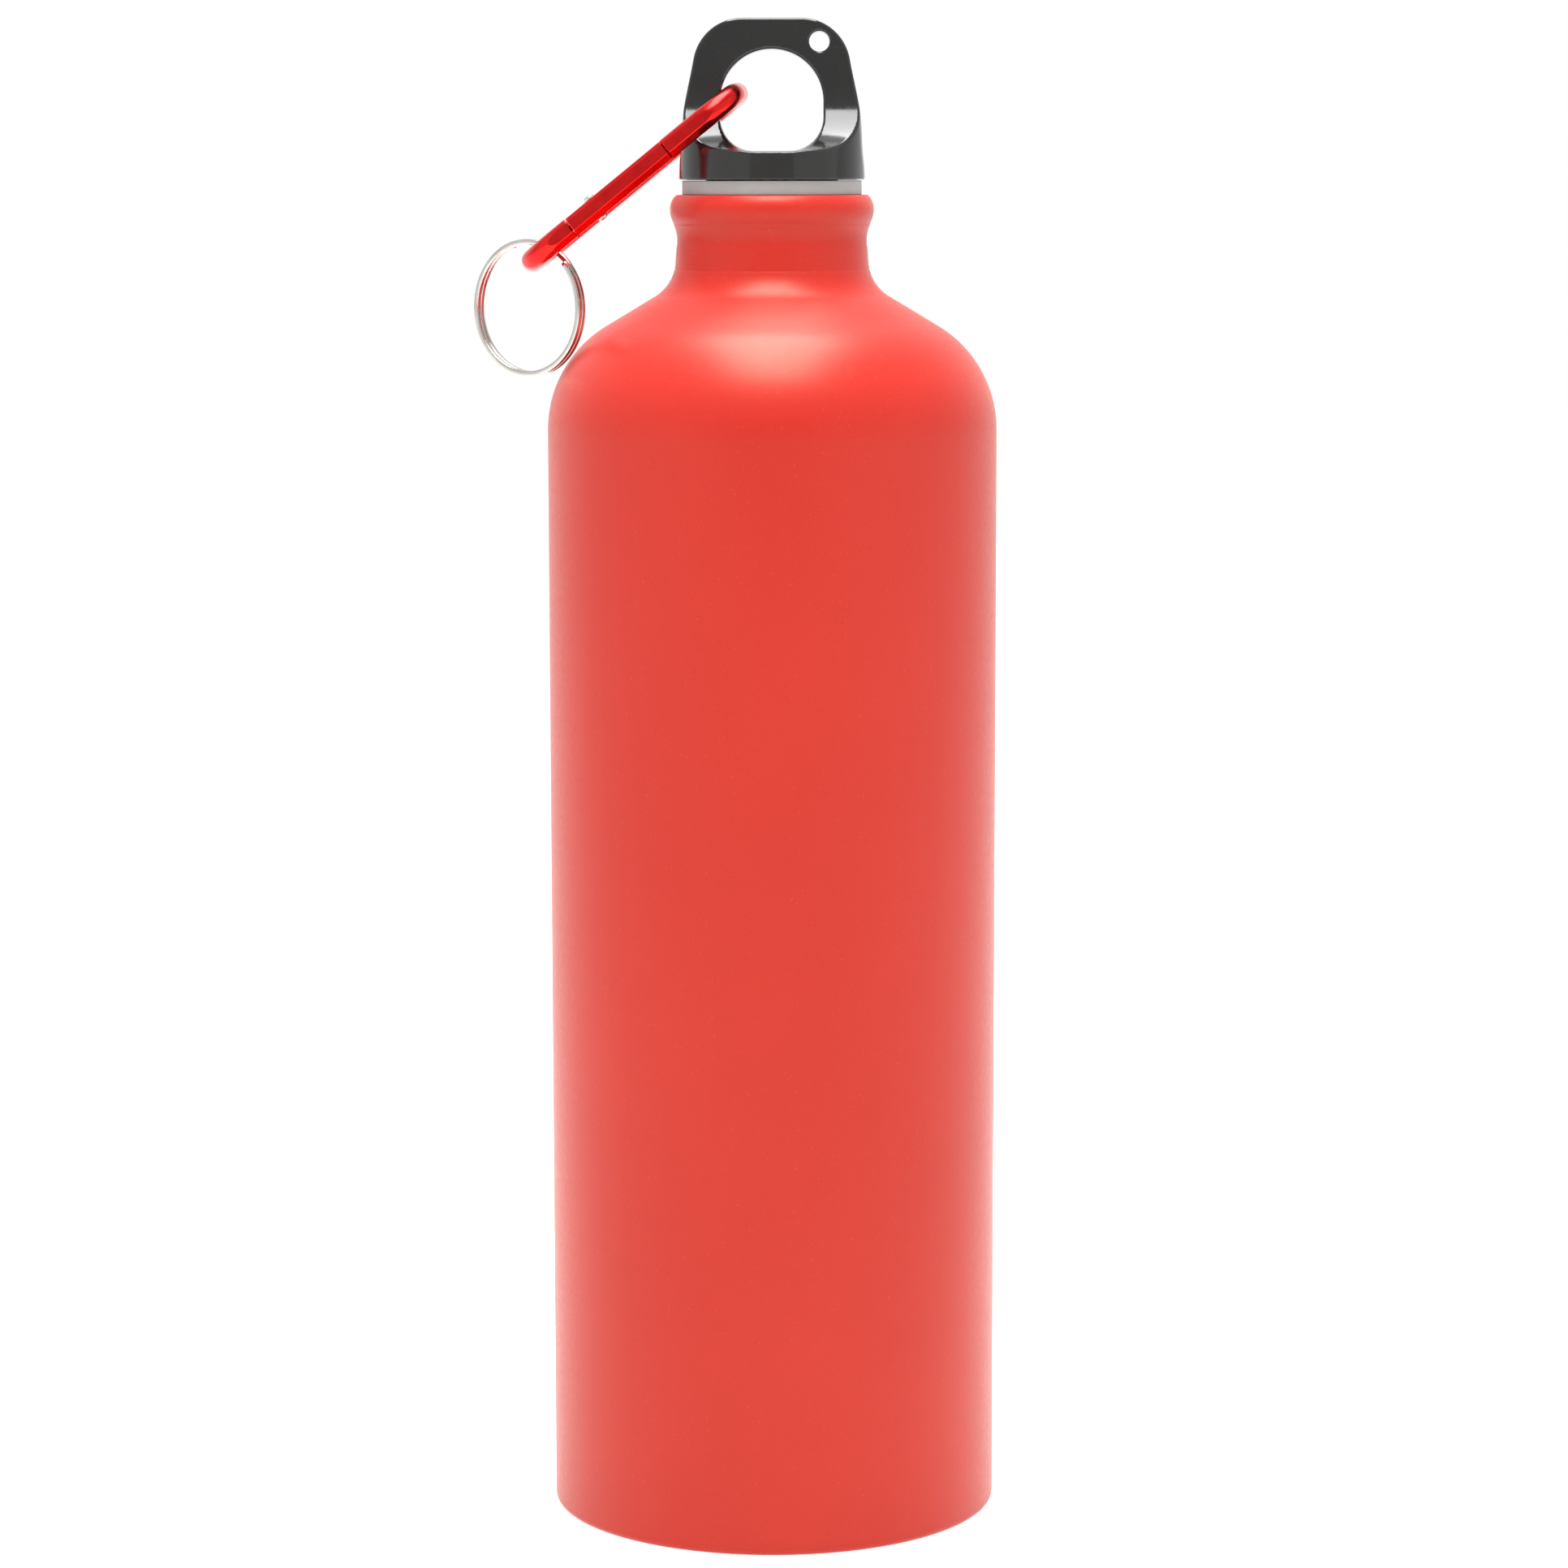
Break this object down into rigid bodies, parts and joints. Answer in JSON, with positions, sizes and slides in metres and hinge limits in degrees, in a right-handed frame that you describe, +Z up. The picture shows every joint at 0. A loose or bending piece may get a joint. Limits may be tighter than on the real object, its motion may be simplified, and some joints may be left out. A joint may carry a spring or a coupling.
{
  "type": "aluminium drinking bottle",
  "caption": "Slim aluminium drinking bottle with a screw cap, a finger loop on the cap, a carabiner clipped through the loop and a split ring hanging from it.",
  "frame": {"origin": "on the bottle's axis, in the plane the bottle stands on", "axes": "+Z up along the bottle's axis; the flat front of the cap's loop faces -Y; the carabiner and split ring hang on the -X side"},
  "size_m": [0.0934, 0.08, 0.2675],
  "materials": {
    "body_paint": "matt red lacquer over aluminium",
    "insert_plastic": "matt",
    "seal_rubber": "matt",
    "cap_gloss": "gloss",
    "plug_plastic": "satin",
    "red_anodised": "gloss red anodised",
    "pin_steel": "satin",
    "ring_nickel": "nickel plated"
  },
  "bodies": {
    "bottle": {"bottle_body": "body_paint", "neck_insert": "insert_plastic"},
    "seal": {"seal_ring": "seal_rubber"},
    "cap": {"cap_shell": "cap_gloss", "cap_plug": "plug_plastic"},
    "carabiner": {"carabiner_frame": "red_anodised", "gate_rivet": "pin_steel"},
    "gate": {"carabiner_gate": "red_anodised", "gate_spring": "pin_steel"},
    "plunger": {"gate_plunger": "pin_steel"},
    "ring": {"key_ring": "ring_nickel"}
  },
  "joints": [
    {"name": "cap_rise", "type": "slide", "parent": "bottle", "child": "seal", "axis": [0, 0, 1], "range_m": [0, 0.01321]},
    {"name": "cap_turn", "type": "hinge", "parent": "seal", "child": "cap", "pos_m": [0, 0, 0.24], "axis": [0, 0, 1], "range_deg": [0, 1188]},
    {"name": "carabiner_swing", "type": "hinge", "parent": "cap", "child": "carabiner", "pos_m": [-0.0064, 0, 0.2543], "axis": [0.0407, 0.9986, 0.0329], "range_deg": [0, 100]},
    {"name": "gate_open", "type": "hinge", "parent": "carabiner", "child": "gate", "pos_m": [-0.03078, -0.01012, 0.23456], "axis": [-0.6293, 0, 0.7771], "range_deg": [0, 30], "stiffness_Nm_per_rad": 0.01, "springref_deg": -20.05},
    {"name": "plunger_slide", "type": "slide", "parent": "gate", "child": "plunger", "axis": [0.7761, -0.0523, 0.6285], "range_m": [0, 0.000288], "deforming": ["gate_spring"]},
    {"name": "key_ring_swing", "type": "hinge", "parent": "carabiner", "child": "ring", "pos_m": [-0.0421, 0.00241, 0.22539], "axis": [0.0407, 0.9986, 0.0329], "range_deg": [0, 65]}
  ],
  "couplings": [
    {"joint": "cap_rise", "follows": "cap_turn", "m_per_rad": 0.00063662},
    {"joint": "plunger_slide", "follows": "gate_open", "m_per_rad": 0.00055}
  ]
}
